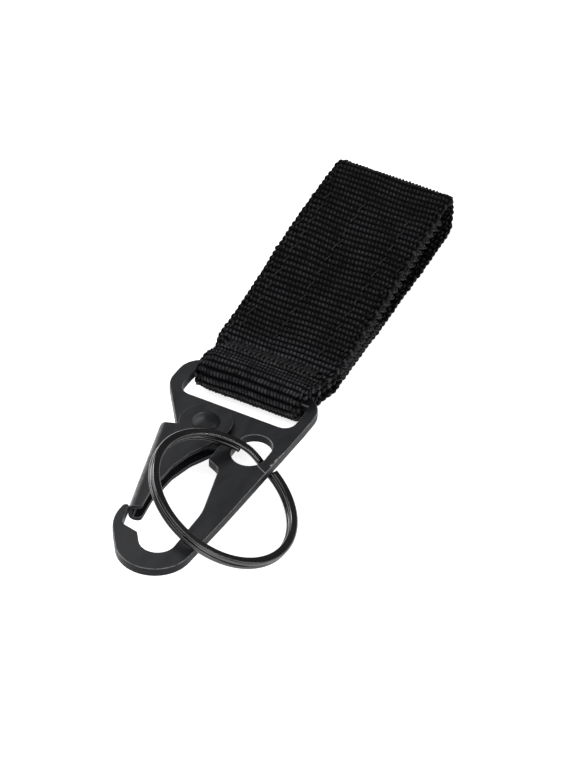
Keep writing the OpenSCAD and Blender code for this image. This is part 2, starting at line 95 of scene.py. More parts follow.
# Share of the half width past which the yarns are looser, and how much more they slip and sink there
LOOSE_FROM, LOOSE_RUN, LOOSE_SLIP, LOOSE_DROP = 0.84, 0.06, 0.30, 0.12
# Least half thickness of the cloth
THIN = 0.05

# Closure tapes: the photograph shows them almost flush with the webbing's edges, wider than the source's 20
TAPE_START, TAPE_W = 9.6, 24.2
HOOK_TAPE_LEN, LOOP_TAPE_LEN = 42.1, 17.0
# Heights of the loop tape's base on the bottom layer, and gap and thickness of the hook tape's base
LOOP_BASE_LOW, LOOP_BASE_TOP = WEB_T + 0.02, WEB_T + 0.52
HOOK_BASE_GAP, HOOK_BASE_T = 0.03, 0.70

# Thread: the seams' places across the strap are given at their near and far ends
STITCH_LEN, STITCH_PITCH, SEAM_INSET = 2.2, 3.5, 1.4
SEAM_ROWS = [(-9.4, -9.4), (-2.1, -2.1), (7.5, 7.9)]
TACK_LEN, TACK_DEPTH, TACK_PITCH, TACK_Y = 19.6, 2.0, 0.95, 6.6
# How deep the seams and the bar tack draw the cloth in, and how wide each dent is
SEAM_DIP, SEAM_DENT = 0.10, 0.5
TACK_DIP, TACK_DENT, TACK_END_DIP, TACK_END_DENT = 0.22, 1.2, 0.48, 0.8

# Plate, and the split ring in its hole: the ring's section, angles and middle, and where its turns cross over
PLATE_T = 1.8
HOLE = (8.3, -17.2)
RING_D, WIRE_W, WIRE_H, WIRE_CORNER_R, TURN_GAP = 30.0, 1.6, 1.0, 0.46, 0.08
RING_TILT, RING_TURN = 29.0, 15.2
RING_AT = (HOLE[0] + 2.1, HOLE[1] - 14.5, 1.4)
CROSS_FROM, CROSS_TO, END_CLEAR = 61.5, 88.5, 2.0

# The spring leaf's line in the plate's frame: its end on the web, its bend's middle and its end in the lobe
LEAF_TOP, LEAF_BEND, LEAF_TIP = (-8.34, -20.885), (-4.38, -32.24), (-3.09, -20.205)
LEAF_T, LEAF_W, LEAF_R, LEAF_CORNER = 0.3, 1.2, 0.8, 0.04
BEND_FROM, BEND_TO = 195.2, 357.0

# Worn lines on the plate, in its own frame: from, to, half width, share bare, and whether it is broken up
PLATE_WEAR = [
    ((13.5, -19.4), (14.05, -14.9), 0.42, 1.0, True),
    ((10.1, -14.6), (9.3, -13.3), 0.22, 0.9, True),
    ((10.9, -20.3), (13.5, -21.6), 0.09, 0.8, False),
]

# Colours, in linear light, mostly as the darkest and the lightest of a surface
# the webbing's gap colour is painted shade: the near black that fills the gaps between its ribs and between
# its yarns
WEB_GAP_SHADE, WEB_DARK, WEB_LIGHT = (0.0003, 0.0003, 0.0004), (0.013, 0.0132, 0.0150), (0.074, 0.074, 0.081)
THREAD_DARK, THREAD_LIGHT = (0.004, 0.004, 0.005), (0.013, 0.013, 0.015)
TAPE_DARK, HOOK_LIGHT, LOOP_LIGHT = (0.010, 0.010, 0.012), (0.040, 0.040, 0.044), (0.036, 0.036, 0.040)
COATING, BARE_STEEL, DULL_STEEL = (0.0080, 0.0086, 0.0108), (0.52, 0.52, 0.53), (0.33, 0.33, 0.34)
RING_DARK, RING_LIGHT = (0.075, 0.074, 0.077), (0.100, 0.098, 0.100)
FLOOR_DARK, FLOOR_LIGHT = (0.93, 0.93, 0.93), (0.95, 0.95, 0.95)
WHITE = (1.0, 1.0, 1.0)

# Softened edges of the metal nodes
WELD_GAP, FLAT_ANGLE = 0.0005, 0.5
BEVEL_STEPS, BEVEL_ANGLE, FACE_WEIGHT = 3, 38, 75

# Studio, in metres and watts: each light's name, place, aim, width, height and power
FLOOR_SIDE, FLOOR_STEPS, FLOOR_Z = 3.0, 12, -0.00003
PART_MIDDLE, HOOK_MIDDLE, SPINE_MIDDLE = (0.003, -0.02, 0.004), (0.003, -0.045, 0.005), (0.008, -0.045, 0.005)
LIGHTS = [
    ("left_softbox", (-0.65, -0.05, 0.42), PART_MIDDLE, 0.45, 0.45, 2.7),
    ("top_softbox", (0.10, -0.25, 0.85), PART_MIDDLE, 0.7, 0.7, 1.9),
    ("right_softbox", (0.45, -0.40, 0.32), PART_MIDDLE, 0.40, 0.40, 1.2),
    ("near_softbox", (-0.177, 0.060, 0.221), HOOK_MIDDLE, 0.09, 0.09, 0.27),
    ("rim_softbox", (0.60, 0.17, 0.36), SPINE_MIDDLE, 0.06, 0.5, 1.0),
]
WORLD_LIGHT, FLOOR_GLOW = 0.16, 0.75

# Camera, solved from the photograph: angles in degrees, distance in mm, scale in pixels per mm
EL, AZ, DIST, SCALE, ROLL = 46.056, 30.010, 762.96, 5.318, -2.55
TARGET = Vector((3.226, -23.236, 0.0))
PHOTO_H, SENSOR_W, SENSOR_H = 768.0, 27.0, 36.0


# Small helpers
def rad(a):
    return math.radians(a)


def ease(f):
    return (1 - math.cos(math.pi * min(1, max(0, f)))) / 2


def step(a, b, y):
    """Soft step from 0 at a to 1 at b, over an array."""
    t = np.clip((y - a) / (b - a), 0, 1)
    return t * t * (3 - 2 * t)


def dent(x, at, width):
    """A soft dent of depth 1 round a place, over an array."""
    return np.exp(-(((x - at) / width) ** 2))


def soft_field(seed, x, y):
    """A smooth random field over two arrays, about -1 to 1, the same in each run."""
    rng = np.random.default_rng(seed)
    total = 0.0
    for _ in range(9):
        turn, pace, shift = rng.uniform(0, 2 * math.pi), rng.uniform(0.4, 1.6), rng.uniform(0, 2 * math.pi)
        total = total + np.sin(pace * (x * math.cos(turn) + y * math.sin(turn)) + shift)
    return total / 3


def in_hook(p):
    """A point of the plate's own frame, in mm, as a point of the row frame."""
    s, c = math.sin(rad(LIFT)), math.cos(rad(LIFT))
    return Vector((p[0], BAR_Y + p[1] * c + p[2] * s, BAR_Z - p[1] * s + p[2] * c))


def arc(c, r, a0, a1, pace=4.0):
    """Points along an arc, at most pace degrees apart."""
    n = max(2, math.ceil(abs(a1 - a0) / pace))
    turns = [rad(a0 + (a1 - a0) * i / n) for i in range(n + 1)]
    return [(c[0] + r * math.cos(a), c[1] + r * math.sin(a)) for a in turns]


# Meshes
def build(name, verts, faces, mat, body, uvs=None):
    """A mesh piece from points in mm, with its material and slot, on its CAD body if one is named."""
    me = bpy.data.meshes.new(name)
    me.from_pydata((np.asarray([tuple(v) for v in verts]) * MM).tolist(), [], faces)
    if uvs is not None:
        corner = np.zeros(len(me.loops), dtype=np.int32)
        me.loops.foreach_get("vertex_index", corner)
        layer = me.uv_layers.new(name="weave")
        layer.data.foreach_set("uv", np.asarray(uvs, dtype=np.float32)[corner].ravel())
    me.shade_smooth()
    me.validate()
    ob = bpy.data.objects.new(name, me)
    bpy.context.scene.collection.objects.link(ob)
    me.materials.append(mat)
    if body:
        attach(ob, body)
    return ob


def walls(faces, base, rings, m):
    """Adds the quads between rings of m points each, from the point base on."""
    for i in range(rings - 1):
        for j in range(m):
            a, b = base + i * m + j, base + i * m + (j + 1) % m
            faces.append((a, a + m, b + m, b))


def skin(faces, base, rings, m):
    """Adds the walls round rings of points, and a face over each end."""
    walls(faces, base, rings, m)
    faces.append(tuple(base + j for j in range(m)))
    faces.append(tuple(base + (rings - 1) * m + j for j in reversed(range(m))))


def end_strip(base, count, back):
    """Quads across one end of a flat strip, between its two faces of count points."""
    return [(base + i, base + i + 1, base + back + count - 2 - i, base + back + count - 1 - i)
            for i in range(count - 1)]


def tube(verts, faces, line, radii, sides=8, up=None):
    """Adds a closed tube along a line of points in mm."""
    base = len(verts)
    n = len(line)
    side = None
    for i, p in enumerate(line):
        d = (line[min(n - 1, i + 1)] - line[max(0, i - 1)]).normalized()
        if side is None:
            ref = up or (Vector((0, 0, 1)) if abs(d.z) < 0.9 else Vector((1, 0, 0)))
            side = d.cross(ref).normalized()
        else:
            side = (side - d * side.dot(d)).normalized()
        top = side.cross(d).normalized()
        r = radii[i] if hasattr(radii, "__len__") else radii
        for j in range(sides):
            a = 2 * math.pi * j / sides
            verts.append(p + (side * math.cos(a) + top * math.sin(a)) * r)
    skin(faces, base, n, sides)


# Materials
def rgb(colour):
    return (*colour, 1.0)


class Graph:
    """A material's nodes, round one Principled shader."""

    # A Mix node has sockets for every kind of data, and these are its colour ones
    MIX_FACTOR, MIX_A, MIX_B, MIX_RESULT = 0, 6, 7, 2

    def __init__(self, name):
        self.mat = bpy.data.materials.new(name)
        self.mat.use_nodes = True
        self.tree = self.mat.node_tree
        self.tree.nodes.clear()
        out = self.tree.nodes.new("ShaderNodeOutputMaterial")
        self.bsdf = self.tree.nodes.new("ShaderNodeBsdfPrincipled")
        self.join(self.bsdf.outputs[0], out.inputs["Surface"])

    def join(self, a, b):
        self.tree.links.new(a, b)

    def put(self, socket, value):
        if isinstance(value, bpy.types.NodeSocket):
            self.join(value, socket)
        else:
            socket.default_value = value

    def set(self, **values):
        for key, value in values.items():
            self.put(self.bsdf.inputs[key.replace("_", " ")], value)

    def coord(self, kind="Object"):
        return self.tree.nodes.new("ShaderNodeTexCoord").outputs[kind]

    def uv(self):
        n = self.tree.nodes.new("ShaderNodeUVMap")
        n.uv_map = "weave"
        return n.outputs[0]

    def noise(self, vector, scale, detail, rough, stretch=None):
        """Noise over places in metres, so that a scale of 1000 has about one blotch to a millimetre."""
        if stretch:
            m = self.tree.nodes.new("ShaderNodeMapping")
            m.inputs["Scale"].default_value = stretch
            self.join(vector, m.inputs["Vector"])
            vector = m.outputs[0]
        n = self.tree.nodes.new("ShaderNodeTexNoise")
        n.inputs["Scale"].default_value = scale
        n.inputs["Detail"].default_value = detail
        n.inputs["Roughness"].default_value = rough
        self.join(vector, n.inputs["Vector"])
        return n.outputs["Fac"]

    def operate(self, kind, op, a, b):
        n = self.tree.nodes.new(kind)
        n.operation = op
        self.put(n.inputs[0], a)
        self.put(n.inputs[1], b)
        return n

    def math(self, op, a, b=0.0, clamp=False):
        n = self.operate("ShaderNodeMath", op, a, b)
        n.use_clamp = clamp
        return n.outputs[0]

    def add(self, a, b):
        return self.math("ADD", a, b)

    def times(self, a, b, clamp=False):
        return self.math("MULTIPLY", a, b, clamp)

    def arch(self, turns):
        """A row of arches, one for each whole step of a value."""
        return self.math("ABSOLUTE", self.math("SINE", self.times(turns, math.pi)))

    def minus(self, a, b):
        return self.operate("ShaderNodeVectorMath", "SUBTRACT", a, b).outputs[0]

    def dot(self, a, b):
        return self.operate("ShaderNodeVectorMath", "DOT_PRODUCT", a, b).outputs["Value"]

    def split(self, vector):
        n = self.tree.nodes.new("ShaderNodeSeparateXYZ")
        self.join(vector, n.inputs[0])
        return n.outputs

    def remap(self, value, a, b, lo=0.0, hi=1.0):
        n = self.tree.nodes.new("ShaderNodeMapRange")
        n.interpolation_type = "SMOOTHSTEP"
        self.join(value, n.inputs["Value"])
        for key, v in (("From Min", a), ("From Max", b), ("To Min", lo), ("To Max", hi)):
            n.inputs[key].default_value = v
        return n.outputs[0]

    def mix(self, fac, a, b):
        n = self.tree.nodes.new("ShaderNodeMix")
        n.data_type = "RGBA"
        self.put(n.inputs[self.MIX_FACTOR], fac)
        self.put(n.inputs[self.MIX_A], a)
        self.put(n.inputs[self.MIX_B], b)
        return n.outputs[self.MIX_RESULT]

    def tone(self, value, lo, hi, dark, light):
        """Colour that goes from dark to light as a value goes from lo to hi."""
        return self.mix(self.remap(value, lo, hi), rgb(dark), rgb(light))

    def bump(self, height, strength, distance):
        n = self.tree.nodes.new("ShaderNodeBump")
        n.inputs["Strength"].default_value = strength
        n.inputs["Distance"].default_value = distance
        self.join(height, n.inputs["Height"])
        return n.outputs[0]


def webbing_material():
    """Black ribbed webbing: uv holds mm across and along the strip, with the mesh's own pitches."""
    strand_w, strand_lean = 0.13, 1.7
    g = Graph("webbing_weave")
    x, s, _ = g.split(g.uv())
    rib = g.math("DIVIDE", s, RIB_PITCH)
    odd = g.math("MODULO", g.math("FLOOR", rib), 2.0)
    cell = g.add(g.math("DIVIDE", x, WEB_W / YARNS), g.times(odd, 0.5))
    # painted shade: where the ribs and the yarns dip, the colour goes over to the near black gap shade
    raised = g.times(g.remap(g.arch(rib), 0.42, 1.0), g.remap(g.arch(cell), 0.25, 1.0, 0.15, 1.0))
    patch = g.noise(g.coord(), 190, 3, 0.55)
    fuzz = g.noise(g.coord(), 1100, 4, 0.7)
    fibre = g.noise(g.coord(), 3600, 2, 0.6)
    # painted light and shade: round the eye the crests take more of each rib and the painted gap shade less,
    # so the strip there is painted lighter and further along darker
    painted_light_round_eye = g.remap(s, EYE_END + 4.5, EYE_END + 16.0, 1.30, 0.58)
    crest = g.tone(g.add(g.times(patch, 0.35), g.times(fuzz, 0.65)), 0.36, 0.66, WEB_DARK, WEB_LIGHT)
    strand = g.math("SINE", g.add(g.times(x, 2 * math.pi / strand_w), g.times(s, strand_lean)))
    g.set(Base_Color=g.mix(g.times(raised, painted_light_round_eye, clamp=True), rgb(WEB_GAP_SHADE), crest),
          Roughness=g.remap(fuzz, 0.3, 0.7, 0.62, 0.85),
          Specular_IOR_Level=0.07,
          Normal=g.bump(g.add(g.times(strand, 0.3), g.times(fibre, 0.9)), 0.6, 0.00010))
    return g.mat


def tape_material(name, light, scale):
    g = Graph(name)
    n = g.noise(g.coord(), scale, 4, 0.65)
    g.set(Base_Color=g.tone(n, 0.35, 0.65, TAPE_DARK, light),
          Roughness=g.remap(n, 0.3, 0.7, 0.6, 0.85),
          Specular_IOR_Level=0.15,
          Normal=g.bump(n, 0.7, 0.0002))
    return g.mat


def thread_material():
    g = Graph("black_thread")
    c = g.coord()
    n = g.noise(c, 1500, 3, 0.6)
    twist = g.noise(c, 3200, 2, 0.5, stretch=(1.0, 0.35, 1.0))
    g.set(Base_Color=g.tone(n, 0.35, 0.65, THREAD_DARK, THREAD_LIGHT),
          Roughness=g.remap(twist, 0.3, 0.7, 0.4, 0.6),
          Specular_IOR_Level=0.3,
          Normal=g.bump(twist, 0.6, 0.00008))
    return g.mat


def coated_metal(name, worn=(), rough=0.38, edge=0.34, gloss=0.5):
    """Satin black coating over steel, with bare steel along the rims as edge wear and partly a painted
    highlight, and worn along given lines of the plate.
    """
    g = Graph(name)
    c = g.coord()
    up = Vector((0, math.sin(rad(LIFT)), math.cos(rad(LIFT))))
    grain = g.noise(c, 2200, 4, 0.65)
    cloud = g.noise(c, 160, 3, 0.5)
    smear = g.noise(c, 420, 4, 0.6, stretch=(1.0, 0.3, 1.0))
    rub = g.noise(c, 900, 3, 0.7)
    # the rounded rims lie between the flat faces and the stamped walls, which are duller
    facing = g.math("ABSOLUTE", g.dot(g.coord("Normal"), tuple(up)))
    rim = g.times(g.remap(facing, 0.25, 0.55), g.remap(facing, 0.995, 0.9))
    # the rims get bare steel in patches: partly edge wear, partly a painted highlight along the rounded edges
    wear_and_rim_highlight = g.times(g.times(rim, g.remap(rub, 0.30, 0.60, 0.25, 1.0)), edge, clamp=True)
    fade = 0.1 * MM
    for a, b, w, amount, broken in worn:
        pa, pb = (in_hook((*p, PLATE_T / 2)) * MM for p in (a, b))
        along = (pb - pa).normalized()
        across = along.cross(up).normalized()
        length = (pb - pa).length
        rel = g.minus(c, tuple(pa))
        off = g.math("ABSOLUTE", g.dot(rel, tuple(across)))
        run = g.dot(rel, tuple(along))
        ends = g.times(g.remap(run, -fade, fade), g.remap(run, length + fade, length - fade))
        line = g.times(g.remap(off, w * MM, w * 0.4 * MM), ends)
        line = g.times(line, g.remap(facing, 0.3, 0.6))
        if broken:
            line = g.times(line, g.remap(g.noise(c, 1100, 4, 0.75), 0.46, 0.56))
        wear_and_rim_highlight = g.math("MAXIMUM", wear_and_rim_highlight, g.times(line, amount))
    d = Vector(COATING)
    coat = g.tone(cloud, 0.3, 0.7, d * 0.85, d * 1.15)
    g.set(Base_Color=g.mix(wear_and_rim_highlight, coat, rgb(BARE_STEEL)),
          Metallic=g.times(wear_and_rim_highlight, 0.5),
          Roughness=g.add(g.remap(smear, 0.3, 0.7, rough - 0.05, rough + 0.08), g.times(wear_and_rim_highlight, -0.08)),
          Specular_IOR_Level=g.remap(facing, 0.05, 0.6, 0.24 * gloss, gloss),
          Normal=g.bump(grain, 0.08, 0.00003))
    return g.mat


def ring_material():
    g = Graph("ring_black_nickel")
    c = g.coord()
    cloud = g.noise(c, 150, 3, 0.5)
    scuff = g.noise(c, 1300, 3, 0.6)
    g.set(Base_Color=g.tone(cloud, 0.3, 0.7, RING_DARK, RING_LIGHT),
          Metallic=1.0,
          Roughness=g.remap(cloud, 0.3, 0.7, 0.19, 0.25),
          Normal=g.bump(scuff, 0.03, 0.00001))
    return g.mat


def spring_material():
    g = Graph("spring_leaf")
    brushed = g.noise(g.coord(), 900, 3, 0.6, stretch=(1.0, 0.15, 1.0))
    g.set(Base_Color=g.tone(brushed, 0.3, 0.7, DULL_STEEL, BARE_STEEL),
          Metallic=1.0,
          Roughness=g.remap(brushed, 0.3, 0.7, 0.25, 0.42),
          Normal=g.bump(brushed, 0.2, 0.00005))
    return g.mat


def floor_material():
    """White floor, lit from below like a light table, so that it stays as pale as in the photograph."""
    g = Graph("studio_floor")
    n = g.noise(g.coord(), 30, 3, 0.5)
    g.set(Base_Color=g.tone(n, 0.3, 0.7, FLOOR_DARK, FLOOR_LIGHT),
          Roughness=g.remap(n, 0.3, 0.7, 0.86, 0.92),
          Specular_IOR_Level=0.1,
          Emission_Color=rgb(WHITE),
          Emission_Strength=FLOOR_GLOW)
    return g.mat


# The webbing's middle line
def top_z(y):
    """Height of the top layer's middle line, from the eye's top to the far fold."""
    settled = BAR_Z + EYE_R + (CLOSE_Z - BAR_Z - EYE_R) * ease(y / SETTLE)
    return settled + (HIGH_Z - CLOSE_Z) * ease((y - CLOSED_LEN) / (TOP_END - CLOSED_LEN))


def slope_at(y):
    reach = 0.1
    return (top_z(y + reach) - top_z(y - reach)) / (2 * reach)


def strap_line():
    """Points from the tail's end, round the eye and the far fold, to the bottom layer's free end."""
    pace = 0.5
    eye = (-EYE_SLACK, BAR_Z)
    sl, cl = math.sin(rad(LEAVE)), math.cos(rad(LEAVE))
    bend = (TAIL_Z - BAR_Z - EYE_R * sl) / (1 + sl)
    tail = (eye[0] + (EYE_R + bend) * cl, eye[1] + (EYE_R + bend) * sl)
    line = [(TAIL_LEN, TAIL_Z)]
    line += arc(tail, bend, 90, 180 + LEAVE)
    line += arc(eye, EYE_R, LEAVE, -270)[1:]
    line += [(pace * i, top_z(pace * i)) for i in range(1, int(TOP_END / pace))]
    line += arc((TOP_END, HIGH_Z - FOLD_TOP_R), FOLD_TOP_R, 90, 0)
    line += arc((FAR_Y - FOLD_LOW_R, WEB_T / 2 + FOLD_LOW_R), FOLD_LOW_R, 0, -90)
    line += [(FREE_END, WEB_T / 2)]
    return line


class Path:
    """A line of points that is read by its length."""

    def __init__(self, points):
        self.y, self.z = np.array(points).T
        self.s = np.append(0, np.cumsum(np.hypot(np.diff(self.y), np.diff(self.z))))
        self.length = self.s[-1]

    def frames(self, s):
        """Places at lengths s, and directions smoothed over half a millimetre."""
        reach = 0.25
        y, z = np.interp(s, self.s, self.y), np.interp(s, self.s, self.z)
        lo, hi = s - reach, s + reach
        dy = np.interp(hi, self.s, self.y) - np.interp(lo, self.s, self.y)
        dz = np.interp(hi, self.s, self.z) - np.interp(lo, self.s, self.z)
        run = np.hypot(dy, dz)
        return y, z, dy / run, dz / run


PATH = Path(strap_line())
RIBS = round(PATH.length / RIB)
RIB_PITCH = PATH.length / RIBS
YARNS = round(WEB_W / YARN)
# Length of the strip from the tail's end to the top of the eye
EYE_END = float(PATH.s[np.argmax((PATH.z > BAR_Z + EYE_R - 0.01) & (PATH.s > TAIL_LEN))])


# Webbing, woven as real ribs of raised yarns
def tack_dip(x, y):
    """Depth to which the bar tack draws the top layer in, deepest at its two ends."""
    past = np.abs(x) - TACK_LEN / 2
    across = 1 / (1 + np.exp(past / 0.25))
    depth = TACK_DIP * across + TACK_END_DIP * dent(past, -0.3, TACK_END_DENT)
    return depth * dent(y, TACK_Y, TACK_DENT)


def seam_dip(x, y):
    """Depth to which the seams draw the top layer in."""
    dip = 0.0
    for near, far in SEAM_ROWS:
        row = near + (far - near) * (y - TAPE_START) / HOOK_TAPE_LEN
        dip = dip + SEAM_DIP * dent(x, row, SEAM_DENT)
    return dip * (y > TAPE_START) * (y < TAPE_START + HOOK_TAPE_LEN)


def edges(y):
    """Left and right edges of the strip, drawn in to pass the slot and a little at the far fold."""
    spread = step(WIDEN_FROM, WIDEN_TO, y)
    left = -NECK_LEFT - (WEB_W / 2 - NECK_LEFT) * spread
    right = BAR_RIGHT + RIGHT_STEP * step(STEP_FROM, STEP_TO, y)
    right = right + (WEB_W / 2 - BAR_RIGHT - RIGHT_STEP) * spread
    tuck = FOLD_TUCK * step(FAR_Y - TUCK_RUN, FAR_Y, y)
    return left + tuck, right - tuck


def beyond(share, start, run):
    """How far a share of the half width lies past a start, counted in runs."""
    return max(0.0, (abs(share) - start) / run)


def make_webbing(mat):
    """The folded strip: each rib is a row of raised yarns, and the rows stand staggered like bricks."""
    rng = np.random.default_rng(11)
    s = np.append(((np.arange(RIBS)[:, None] + RIB_SHARES) * RIB_PITCH).ravel(), PATH.length)
    rib = np.minimum(RIBS - 1, (s / RIB_PITCH + 1e-6).astype(int))
    phase = s / RIB_PITCH - rib
    ridge = np.abs(np.sin(np.pi * phase)) ** RIB_POWER
    y, z, dy, dz = PATH.frames(s)
    spread = step(WIDEN_FROM, WIDEN_TO, y)
    left, right = edges(y)
    left = left + WANDER * spread * soft_field(3, s / WANDER_RUN, 0 * s)
    right = right + WANDER * spread * soft_field(4, s / WANDER_RUN, 0 * s)
    middle, half = (left + right) / 2, (right - left) / 2
    shear = -LEAN * (phase - 0.5) * RIB_PITCH
    on_top = (dy > 0.5) * 1.0
    in_slot = step(ROUND_FROM, ROUND_TO, y) * (s < EYE_END + ROUND_RUN)
    count = YARN_POINTS * YARNS + 1
    columns = []
    uvs = []

    def add(x, out, slide, u):
        """One line of points along the strip: place across, height off its middle, and slip along it."""
        columns.append(np.stack([x, BAR_Y + y - dz * out + dy * slide, z + dy * out + dz * slide], 1))
        uvs.append(np.stack([u + 0 * s, s], 1))

    # the upper face runs back across and the lower one forth, so that the lines close round the strip
    for face in (1, -1):
        swell = rng.normal(0, UNEVEN, (RIBS, YARNS + 2))
        for i in range(count)[::-face]:
            share = 2 * i / (count - 1) - 1
            inside = 1 - abs(share) ** 12
            x = middle + share * (half - EDGE_W) + shear * inside
            cell = i / YARN_POINTS + 0.5 * (rib % 2)
            yarn = np.abs(np.sin(np.pi * cell)) ** YARN_POWER
            depth = ROW_DEPTH * (1 - ridge) + GAP_DEPTH * ridge * (1 - yarn)
            depth = depth - ridge * yarn * swell[rib, (cell + 1e-6).astype(int)] + YARN_DEPTH
            depth = depth + EDGE_DROP * beyond(share, EDGE_FROM, 1 - EDGE_FROM)
            depth = depth + ROUND_DROP * in_slot * beyond(share, LOOSE_FROM, 1 - LOOSE_FROM) ** 2
            if face == 1:
                depth = depth + on_top * (tack_dip(x, y) + seam_dip(x, y))
            slide = SLIP * soft_field(20 + face, share * 6 + 0 * s, rib * 0.45)
            # the outer two millimetres are looser, as on a real selvage
            loose = min(1.0, beyond(share, LOOSE_FROM, LOOSE_RUN))
            slide = slide + LOOSE_SLIP * loose * soft_field(50 + i, 2.1 * rib, 0 * s)
            depth = depth + LOOSE_DROP * loose * soft_field(350 + i, 2.9 * rib, 0 * s)
            out = face * np.maximum(THIN, WEB_T / 2 - np.maximum(0, depth))
            add(x, out, slide, share * WEB_W / 2)
        # at the edge each rib's yarn turns round and stands out as a small knob
        side = -face
        uneven = 1 + rng.normal(0, KNOB_UNEVEN, RIBS)[rib] * spread
        knob = KNOB_LEAST + KNOB_REACH * ridge * (0.8 + 0.2 * spread) * uneven
        knob_t = WEB_T / 2 - KNOB_INSET - KNOB_GAP * (1 - ridge)
        for turn in KNOB_ANGLES:
            x = middle + side * (half - EDGE_W + knob * math.cos(rad(turn)) ** 0.7)
            add(x, face * math.sin(rad(turn)) * knob_t, 0 * s, side * WEB_W / 2)
    m = len(columns)
    n = len(s)
    verts = np.stack(columns, 1).reshape(-1, 3)
    uv = np.stack(uvs, 1).reshape(-1, 2)
    a = (np.arange(n - 1)[:, None] * m + np.arange(m)).ravel()
    b = (np.arange(n - 1)[:, None] * m + (np.arange(m) + 1) % m).ravel()
    faces = np.stack([a, b, b + m, a + m], 1).tolist()
    # closed ends, as strips between the two faces and a round piece at each edge
    knob_points = len(KNOB_ANGLES)
    back = count + knob_points
    for base, turned in ((0, False), ((n - 1) * m, True)):
        caps = end_strip(base, count, back)
        caps += [tuple(base + (start + t) % m for t in range(knob_points + 2))
                 for start in (count - 1, back + count - 1)]
        faces += [cap[::-1] if turned else cap for cap in caps]
    return build("webbing_weave", verts, faces, mat, "strap", uvs=uv)


# Tapes of the closure
def hook_base_top(y):
    return top_z(y) - (WEB_T / 2 + HOOK_BASE_GAP) * math.hypot(1, slope_at(y))


def hook_base_low(y):
    return hook_base_top(y) - HOOK_BASE_T


def tape_base(name, mat, top, low, start, length, ripple):
    """A thin closed band between two heights over the distance from the crossbar."""
    nx, pace = 40, 0.5
    n = int(length / pace)
    verts, faces = [], []
    for r in range(n + 1):
        y = start + length * r / n
        for height, face in ((top, 1), (low, -1)):
            for i in range(nx + 1):
                x = (2 * i / nx - 1) * face * TAPE_W / 2
                lift = ripple * noise.noise(Vector((x * 2.1, y * 2.1, face)))
                verts.append((x, BAR_Y + y, height(y) - face * abs(lift)))
    m = 2 * (nx + 1)
    walls(faces, 0, n + 1, m)
    for base, turned in ((0, False), (n * m, True)):
        faces += [cap[::-1] if turned else cap for cap in end_strip(base, nx + 1, nx + 1)]
    return build(name, verts, faces, mat, "strap")


def tape_places(start, end, left, right, row_pitch, pitch, shift):
    """Places on a tape inside the given margins, in rows of which every second one is shifted."""
    y = TAPE_START + start
    row = 0
    while y < TAPE_START + end:
        x = -TAPE_W / 2 + left + shift * (row % 2)
        while x < TAPE_W / 2 - right:
            yield row, x, y
            x += pitch
        y += row_pitch
        row += 1


def make_hooks(mat):
    """Rows of small bent hooks under the upper tape."""
    margin, left, right = 0.8, 1.6, 1.5
    row_pitch, pitch, shift = 0.85, 0.95, 0.45
    hook_r, reach, bends = 0.045, 0.15, 5
    verts, faces = [], []
    for row, x, y in tape_places(margin, HOOK_TAPE_LEN - margin, left, right, row_pitch, pitch, shift):
        slope = slope_at(y)
        off = Vector((0, -slope, 1)).normalized()
        along = Vector((0, 1, slope)).normalized() * (1 if row % 2 else -1)
        jitter = noise.noise(Vector((x * 3.3, y * 3.3, 2.0)))
        root = Vector((x + 0.08 * jitter, BAR_Y + y, hook_base_low(y) + 0.05))
        line = [root]
        for t in range(1, bends + 1):
            a = math.pi * 0.92 * t / bends
            line.append(root - off * (0.26 + 0.17 * math.sin(a)) + along * reach * (1 - math.cos(a)))
        tube(verts, faces, line, hook_r, sides=4)
    return build("hook_tape_hooks", verts, faces, mat, "strap")


def make_pile(mat):
    """A pile of small loops on the lower tape."""
    near, far, left, right = 0.35, 0.3, 0.5, 0.4
    row_pitch, pitch, shift = 0.55, 0.62, 0.3
    loop_r, half_w, height, steps = 0.035, 0.24, 0.5, 6
    arch = [math.pi * t / steps for t in range(steps + 1)]
    verts, faces = [], []
    for _, x, y in tape_places(near, LOOP_TAPE_LEN - far, left, right, row_pitch, pitch, shift):
        turn = noise.noise(Vector((x * 2.7, y * 2.7, 1.0))) * 5
        jitter = noise.noise(Vector((x * 2.7, y * 2.7, 9.0)))
        way = Vector((math.cos(turn), math.sin(turn), 0))
        foot = Vector((x + 0.15 * jitter, BAR_Y + y + 0.03 * turn, LOOP_BASE_TOP - 0.03))
        rise = Vector((0, 0, height + 0.1 * jitter))
        line = [foot + way * half_w * math.cos(a) + rise * math.sin(a) for a in arch]
        tube(verts, faces, line, loop_r, sides=3, up=Vector((way.y, -way.x, 0.2)))
    return build("loop_tape_pile", verts, faces, mat, "strap")


def edge_loops(mat, name, start, length, rows):
    """Small thread loops along both edges of a tape, in rows one under another, as on a woven selvage."""
    first, pitch, thread_r, steps = 0.4, 0.42, 0.17, 7
    inset, reach, spread, droop, sway = 0.05, 0.48, 0.20, 0.10, 0.12
    verts, faces = [], []
    for side in (-1, 1):
        for i in range(int(length / pitch)):
            y = start + first + i * pitch
            jitter = noise.noise(Vector((i * 1.9, side * 4.0, len(rows))))
            twist = noise.noise(Vector((i * 2.3, side * 7.0, 3.0)))
            at = Vector((side * (TAPE_W / 2 - inset), BAR_Y + y, rows[i % len(rows)](y)))
            out = Vector((side * (reach + spread * jitter), 0, -droop))
            run = Vector((0, pitch, pitch * twist))
            line = []
            for t in range(steps + 1):
                a = math.pi * t / steps
                wave = Vector((0, 0, sway * math.sin(2 * a)))
                line.append(at + out * math.sin(a) - run * math.cos(a) + wave)
            tube(verts, faces, line, thread_r, sides=6)
    return build(name, verts, faces, mat, "strap")


